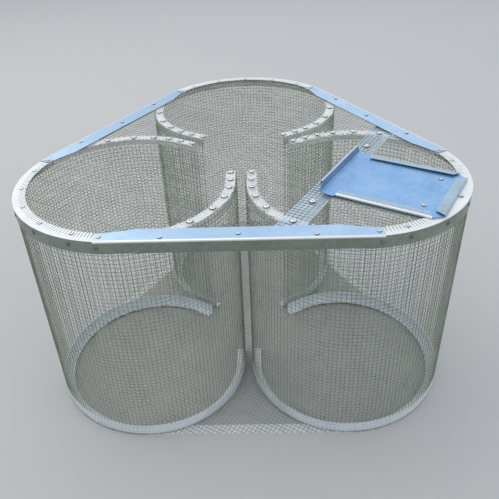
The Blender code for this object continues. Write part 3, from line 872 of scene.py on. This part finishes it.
def rim_strip(leg, seed):
    """An angle strip along Y, its outer face at strip_face and its top at zero."""
    steps = 30
    step = 2.0 * strip_half / steps
    strip = flat_sheet(
        strip_flange, step, (strip_face - strip_flange / 2.0, step / 2.0 - strip_half, 0.0)
    )
    pick(strip, lambda co: co.y > step * 0.9 - strip_half)
    for number in range(1, steps):
        extrude((0.0, step, 0.0))
    for end in (-1.0, 1.0):
        bpy.ops.mesh.select_all(action="SELECT")
        bpy.ops.mesh.bisect(
            plane_co=(strip_face - strip_end_flange, end * strip_half, 0.0),
            plane_no=(-strip_taper, end * (strip_flange - strip_end_flange), 0.0),
            clear_outer=True,
        )
    pick(strip, lambda co: co.x < strip_face - edge_zone)
    bpy.ops.transform.vertex_random(offset=edge_waver, seed=seed)
    pick(strip, lambda co: co.x < strip_face - edge_zone and abs(co.y) > strip_half - tip_length)
    bpy.ops.transform.translate(value=(0.0, 0.0, tip_lift))
    pick(strip, lambda co: co.x > strip_face - at_fold)
    extrude((0.0, 0.0, -leg))
    bpy.ops.transform.vertex_random(offset=leg_waver, seed=seed + 1)
    bpy.ops.transform.translate(value=(-leg_waver, 0.0, leg_waver))
    pick(strip, lambda co: co.x > strip_face - at_fold and abs(co.z) < at_fold)
    bpy.ops.mesh.bevel(offset=fold_round, segments=3, affect="EDGES")
    for spot, across in (((strip_face - flange_cut, 0.0, 0.0), (1.0, 0.0, 0.0)),
                         ((strip_face, 0.0, -leg_cut), (0.0, 0.0, 1.0))):
        bpy.ops.mesh.select_all(action="SELECT")
        bpy.ops.mesh.bisect(plane_co=spot, plane_no=across)
    # Painted highlight along the fold, on the flange and the leg.
    brush(strip, "painted_light", lambda co: co.x > strip_face - highlight_flange and co.z > -highlight_leg)
    return strip


for number, (side, degrees) in enumerate(side_angle.items()):
    low, high = (corner.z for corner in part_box("rim_strip_" + side))
    strip = rim_strip(high - low, 20 + 3 * number)
    finish_sheet(strip, high, -1.0)
    place_round(strip, degrees)
    fit_out(strip, "side_angle_" + side, sheet_metal, "galvanised_sheet", "rim_strip_" + side)

# %% [markdown]
# ## The door's tray
#
# The door slides in a tray: a sheet with a window, whose three outer edges are folded up and
# over as narrow channels, round because they are folded over a thin plate. A grid of two by three
# cells gives the floor, one cell is deleted for the window, each outer edge is spun half a turn,
# and a lip is extruded back over the floor.

# %% Floor of the tray, with its window
def shift_row(piece, axis, old, new):
    """Move the row of points whose coordinate on this axis is old."""
    pick(piece, lambda co: abs(co[axis] - old) < 0.0005)
    move = [0.0, 0.0, 0.0]
    move[axis] = new - old
    bpy.ops.transform.translate(value=move)


def select_between(piece, low, high):
    pick(piece, lambda co: all(a - near < c < b + near for a, c, b in zip(low, co, high)))


def move_point(piece, place, move):
    select_between(piece, place, place)
    bpy.ops.transform.translate(value=move)


end_fold = 0.014             # from the inside of the end channel's lip to the tray's end
tray_low, tray_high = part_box("hatch_tray")
fold = (tray_high.z - tray_low.z - 2.0 * sheet) / 2.0
tray_start = opening_start + 0.0018
channel_end = opening_end + 0.005
rows_x = (tray_start, channel_end, channel_end + end_fold - sheet - fold)
rows_y = (
    opening_low - side_fold + sheet + fold, opening_low,
    opening_high, opening_high + side_fold - sheet - fold,
)

clear_selection()
bpy.ops.mesh.primitive_grid_add(x_subdivisions=2, y_subdivisions=3, size=1.0)
tray = bpy.context.object
for old, new in zip((-0.5, 0.0, 0.5), rows_x):
    shift_row(tray, 0, old, new)
for old, new in zip((-0.5, -1.0 / 6.0, 1.0 / 6.0, 0.5), rows_y):
    shift_row(tray, 1, old, new)
for row, beside in ((0, 1), (3, 2)):
    tray_corner = Vector((rows_x[2], rows_y[row], 0.0))
    side_end = Vector((rows_x[1], rows_y[row], 0.0))
    end_start = Vector((rows_x[2], rows_y[beside], 0.0))
    move_point(tray, tray_corner, (side_end + end_start) / 2 - tray_corner)
select_between(tray, (rows_x[0], rows_y[1], 0.0), (rows_x[1], rows_y[2], 0.0))
bpy.ops.mesh.delete(type="FACE")

# %% Its three folded channels
fold_steps = 8
corner_cut = 0.006           # cut off the corners of the channels' lips
for row, sense, lift in ((0, 1.0, 0.0002), (3, -1.0, 0.0008)):
    select_between(tray, (rows_x[0], rows_y[row], 0.0), (rows_x[1], rows_y[row], 0.0))
    bpy.ops.mesh.spin(steps=fold_steps, angle=sense * math.pi, center=(0.0, rows_y[row], fold),
                      axis=(1.0, 0.0, 0.0))
    lip_width = sense * (side_fold - sheet - fold)
    extrude((0.0, lip_width, 0.0))
    far_corner = (rows_x[1], rows_y[row] + lip_width, 2.0 * fold)
    move_point(tray, far_corner, (-corner_cut, 0.0, lift))
select_between(tray, (rows_x[2], rows_y[1], 0.0), (rows_x[2], rows_y[2], 0.0))
bpy.ops.mesh.spin(steps=fold_steps, angle=math.pi, center=(rows_x[2], 0.0, fold),
                  axis=(0.0, 1.0, 0.0))
extrude((channel_end - rows_x[2], 0.0, 0.0))
for row, sense in ((1, 1.0), (2, -1.0)):
    free_corner = (channel_end, rows_y[row], 2.0 * fold)
    move_point(tray, free_corner, (0.0, sense * corner_cut, 0.0))
# Painted highlight on the round folds of the two side channels.
brush(tray, "painted_light", lambda co: not rows_y[0] - near < co.y < rows_y[3] + near)
finish_sheet(tray, tray_low.z + sheet, -1.0)
place_round(tray, hatch_turn)
fit_out(tray, "door_tray", tray_metal, "galvanised_sheet", "hatch_tray")
print("tray", [round(side * 1000.0, 1) for side in tray.dimensions], "mm")

# %% [markdown]
# ## The sliding door
#
# The door is one plate. Its inner end runs up a gentle slope and stands upright as a finger lip,
# whose top is folded back as an open hem, so that no sharp edge is left. The plate is extruded
# from a plane, the two bends are spun, and the lip is narrowed as it rises.

# %% The door's plate
door_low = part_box("hatch_door")[0].z
door_thickness = 0.0008
door_room = 0.0005           # on each side, in the channels
door_half = tray_half - sheet - door_room
shoulder = tray_start - gap
flare = 0.0025               # outside the tray the door widens over this length
wide = door_half + sheet + door_room + flare
slope_start = tray_start - 0.007
plate_end = channel_end - door_room
door_end = channel_end + end_fold - sheet - door_room


def widen(factor):
    """Scale the selected points across the door, about its middle line."""
    bpy.ops.transform.resize(
        value=(1.0, factor, 1.0), center_override=(0.0, hatch_offset, 0.0)
    )


door = flat_sheet(
    plate_end - shoulder, 2.0 * door_half, ((plate_end + shoulder) / 2.0, hatch_offset, 0.0)
)
pick(door, lambda co: co.x > plate_end - 0.001)
extrude((door_end - plate_end, 0.0, 0.0))
widen(opening_width / 2.0 / door_half)
pick(door, lambda co: co.x < shoulder + 0.001)
extrude((-flare, 0.0, 0.0))
widen(wide / door_half)
extrude((slope_start - shoulder + flare, 0.0, 0.0))

# %% Its slope, upright lip and hem
lip_face = slope_start - 0.0145
slope_rise = 0.0017
lip_height = 0.0135
lip_taper = 0.007            # narrower by this at the top, at either end
hem_width = 0.0032
hem_mouth = 0.0024
hem_lift = 0.003             # from the lip's foot up to the hem's free edge
bend_radius = 0.0012

slope = math.atan2(slope_rise, slope_start - lip_face)
turn = math.pi / 2.0 - slope
tangent = bend_radius * math.tan(turn / 2.0)
bend_start = (lip_face + tangent * math.cos(slope), slope_rise - tangent * math.sin(slope))
extrude((bend_start[0] - slope_start, 0.0, bend_start[1]))
bend_centre = (lip_face + bend_radius, 0.0, slope_rise + tangent)
bpy.ops.mesh.spin(steps=4, angle=-turn, center=bend_centre, axis=(0.0, 1.0, 0.0))
hem_level = slope_rise + lip_height - hem_width / 2.0
extrude((0.0, 0.0, hem_level - bend_centre[2]))
widen((wide - lip_taper) / wide)
bpy.ops.mesh.spin(
    steps=fold_steps, angle=math.pi, center=(lip_face - hem_width / 2.0, 0.0, hem_level),
    axis=(0.0, 1.0, 0.0),
)
extrude((hem_width - hem_mouth, 0.0, slope_rise + hem_lift - hem_level))
# Painted highlight, at half strength, on the hem's top.
brush(door, "painted_light", lambda co: co.z > hem_level, 0.5)
finish_sheet(door, door_low + door_thickness, -1.0, door_thickness, 30.0)
place_round(door, hatch_turn)
fit_out(door, "door_sheet", door_metal, "galvanised_door_sheet", "hatch_door", body="door")
print("door", [round(side * 1000.0, 1) for side in door.dimensions], "mm")

# %% [markdown]
# ## Pieces kept from the CAD model
#
# Flat strips need no more shape than the CAD model gives them, only the metal, which goes into
# each node's one material slot. The strap and the backing strips are of sheet like the rim, with
# bright bluish tones, painted light and a painted reflection of the sky; the floor strips are of
# the paler sheet of the foot rings.

# %% Give the kept strips their metal
for node in ("hatch_strap", "hatch_backing_front", "hatch_backing_rear"):
    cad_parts[node].material_slots[0].material = strap_metal
for side in side_angle:
    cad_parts["floor_strip_" + side].material_slots[0].material = ring_metal
print("kept strips finished")

# %% [markdown]
# ## Rivets
#
# A pop rivet has a low domed head with a hole in its middle, and a swollen tail. It is a turned
# shape, so a circle is extruded ring by ring, and each ring is scaled to its radius. A rivet is
# modelled once for each length and copied.

# %% Turn a rivet from a circle
head_height = 0.0012
head_radius = 0.0032
wide_head_radius = 0.0048
hole_radius = 0.0009
shank_radius = 0.0016
tail_radii = (0.0009, 0.0019, 0.0023)      # at its end, round its dome, at its foot
tail_height = 0.0009
stop_tail_height = 0.0026    # of the door's stop rivets, which stand on it
seam = 0.0001                # short step under the head and over the tail


def turned(rings):
    """A closed turned shape through rings of (radius, level), from its bottom to its top."""
    clear_selection()
    bpy.ops.mesh.primitive_circle_add(
        vertices=16, radius=rings[0][0], fill_type="NGON", location=(0.0, 0.0, rings[0][1])
    )
    piece = bpy.context.object
    apply_place(piece)
    edit_all()
    for (radius, level), (wider, higher) in zip(rings, rings[1:]):
        extrude((0.0, 0.0, higher - level))
        bpy.ops.transform.resize(value=(wider / radius, wider / radius, 1.0),
                                 center_override=(0.0, 0.0, higher))
    bpy.ops.mesh.select_all(action="SELECT")
    bpy.ops.mesh.normals_make_consistent(inside=False)
    widest = max(radius for radius, level in rings)
    # Painted shade round the head's foot and in its hole.
    brush(piece, "painted_shade", lambda co: co.z > -0.00005 and math.hypot(co.x, co.y) > 0.9 * widest)
    brush(piece, "painted_shade", lambda co: co.z > 0.00005 and math.hypot(co.x, co.y) < 0.00095)
    smooth(piece, 40.0)
    return piece


def rivet_head(radius, height, hole):
    """Rings of a domed head with a hole in its top, above level zero."""
    return [
        (radius, 0.0), (radius, height * 0.18), (radius * 0.93, height * 0.45),
        (radius * 0.75, height * 0.76), (radius * 0.52, height * 0.95), (hole * 1.25, height),
        (hole, height * 0.9), (hole * 0.9, height * 0.35),
    ]


def rivet_shape(length, tail, radius):
    """A whole rivet: its head's seat at zero, its tail's end this far below."""
    foot = tail - length
    return turned(
        [(tail_radii[0], -length), (tail_radii[1], foot - tail * 0.6), (tail_radii[2], foot),
         (shank_radius, foot + seam), (shank_radius, -seam)]
        + rivet_head(radius, head_height, hole_radius)
    )

# %% Rivets of the rim, of the strap and of the door
rivet_kinds = {
    "rim_rivet": (tail_height, head_radius), "strap_rivet": (tail_height, wide_head_radius),
    "door_stop": (stop_tail_height, head_radius),
}
patterns = {}
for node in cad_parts:
    kind = next((word for word in rivet_kinds if node.startswith(word)), None)
    if not kind:
        continue
    low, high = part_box(node)
    length = round(high.z - low.z - head_height, 6)
    if (kind, length) not in patterns:
        patterns[kind, length] = rivet_shape(length, *rivet_kinds[kind])
    rivet = copy_of(patterns[kind, length])
    rivet.location = ((low.x + high.x) / 2.0, (low.y + high.y) / 2.0, high.z - head_height)
    apply_place(rivet)
    body = "door" if kind == "door_stop" else "trap"
    fit_out(rivet, node + "_turned", rivet_metal, "aluminium_rivet", node, body=body)
for pattern in patterns.values():
    bpy.data.objects.remove(pattern, do_unlink=True)

# %% [markdown]
# ## Small rivets of the pleated angles
#
# The pleated angles are riveted too, through their flanges to the netting and through the rim's
# legs to the walls. Each lobe has three rows, and those of one row are copies of one rivet, joined
# as one piece. A copy is turned on its side for a leg.

# %% Copy a rivet to many places and join the copies
def rivet_row(name, pattern, spots, degrees):
    """Copies of a rivet at (place, heading): heading None stands upright, else it points out."""
    copies = []
    for place, heading in spots:
        rivet = copy_of(pattern)
        rivet.location = place
        if heading is not None:
            rivet.rotation_euler = (0.0, math.radians(90.0), math.radians(heading))
        apply_place(rivet)
        copies.append(rivet)
    clear_selection()
    for rivet in copies:
        rivet.select_set(True)
    bpy.context.view_layer.objects.active = copies[0]
    bpy.ops.object.join()
    row = bpy.context.object
    place_round(row, degrees)
    fit_out(row, name, rivet_metal, "aluminium_rivet")

# %% Where the small rivets go
even_angles = (-41, -20.5, 0, 20.5, 41)
flange_angles = {"left": even_angles, "right": (-41, 0.8, 41), "back": even_angles}
flange_radius = 0.1565
flange_seat = corner_top + 0.0008       # on top of the pleats
leg_drop = 0.009             # below the rim's top
end_drop = 0.0095
end_setback = 0.0175         # from a strip's end
curl_line = curl_radius - leg_inset - curl_flange / 2.0
curl_distances = (0.005, 0.028, 0.051, 0.078, 0.112, 0.155)     # from the slit's end


def flange_spots(lobe):
    return [(at_level(lobe_centre + polar(flange_radius, angle), flange_seat), None)
            for angle in flange_angles[lobe]]


def leg_spots():
    """On the leg of a rim angle, and one in each strip's end beside it."""
    spots = [(at_level(lobe_centre + polar(corner_radius + gap, angle), rim_top - leg_drop), angle)
             for angle in even_angles]
    for end in (-1.0, 1.0):
        place = lobe_centre + polar(corner_radius + lap, 60.0 * end)
        place -= polar(end_setback, 150.0 * end)
        spots.append((at_level(place, rim_top - end_drop), 60.0 * end))
    return spots


def curl_spots(lobe):
    """Along both curls, over the middle of the angles under the top netting."""
    spots = []
    for end in (-1, 1):
        length = slit_length(slit_reach[lobe][(end + 1) // 2])
        for distance in curl_distances[:-1] if lobe == "right" else curl_distances:
            past = max(0.0, distance - length)
            place = curl_centre[end] + polar(
                curl_line, (150.0 - math.degrees(past / curl_line)) * end
            ) - polar(max(0.0, length - distance), 60.0 * end)
            spots.append((at_level(place, net_high + gap), None))
    return spots

# %% Set the small rivets
corner_rivet = rivet_shape(flange_seat - net_low + tail_height, tail_height, head_radius)
leg_rivet = turned([(shank_radius, -0.002), (shank_radius, -seam)]
                   + rivet_head(0.003, 0.0008, 0.0008))
curl_rivet = rivet_shape(net_high - net_low + sheet + 0.0012, tail_height, wide_head_radius)

for lobe, degrees in lobe_angle.items():
    rivet_row("corner_rivets_" + lobe, corner_rivet, flange_spots(lobe), degrees)
    rivet_row("leg_rivets_" + lobe, leg_rivet, leg_spots(), degrees)
    rivet_row("curl_rivets_" + lobe, curl_rivet, curl_spots(lobe), degrees)
for pattern in (corner_rivet, leg_rivet, curl_rivet):
    bpy.data.objects.remove(pattern, do_unlink=True)

# %% [markdown]
# ## Light, floor and backdrop
#
# Metal shows what is round it, so it needs broad soft light: a pale world does most of the work,
# two large lamps from above and behind brighten what faces up, and a weak one comes from the
# front. The floor is plain and pale, and keeps the trap's shadow.

# %% Plain pale floor
clear_selection()
bpy.ops.mesh.primitive_plane_add(size=12.0, location=(0.0, 2.0, 0.0))
floor = bpy.context.object
floor.name = "floor"
floor_paint = bpy.data.materials.new("floor_paint")
floor_paint.use_nodes = True
shader = floor_paint.node_tree.nodes["Principled BSDF"]
shader.inputs["Base Color"].default_value = (0.58, 0.58, 0.58, 1.0)
shader.inputs["Roughness"].default_value = 0.9
floor.data.materials.append(floor_paint)

# %% Lamps and world
def add_lamp(name, place, size, power, colour):
    """A square lamp that looks at the trap."""
    clear_selection()
    bpy.ops.object.light_add(type="AREA", location=place)
    lamp = bpy.context.object
    lamp.name = name
    lamp.data.size = size
    lamp.data.energy = power
    lamp.data.color = colour
    aim = Vector((0.0, 0.0, rim_top / 2.0)) - Vector(place)
    lamp.rotation_euler = aim.to_track_quat("-Z", "Y").to_euler()


add_lamp("key_lamp", (-1.3, 0.9, 2.6), 3.2, 30.0, (1.0, 0.99, 0.97))
add_lamp("back_lamp", (1.1, 2.2, 1.8), 2.6, 5.0, (0.80, 0.90, 1.0))
add_lamp("fill_lamp", (1.8, -1.4, 1.6), 2.0, 7.0, (0.92, 0.96, 1.0))

world = bpy.context.scene.world or bpy.data.worlds.new("world")
bpy.context.scene.world = world
world.use_nodes = True
sky = world.node_tree.nodes["Background"].inputs
sky["Color"].default_value = (0.90, 0.95, 1.0, 1.0)
sky["Strength"].default_value = 0.72
bpy.context.scene.view_settings.view_transform = "Standard"
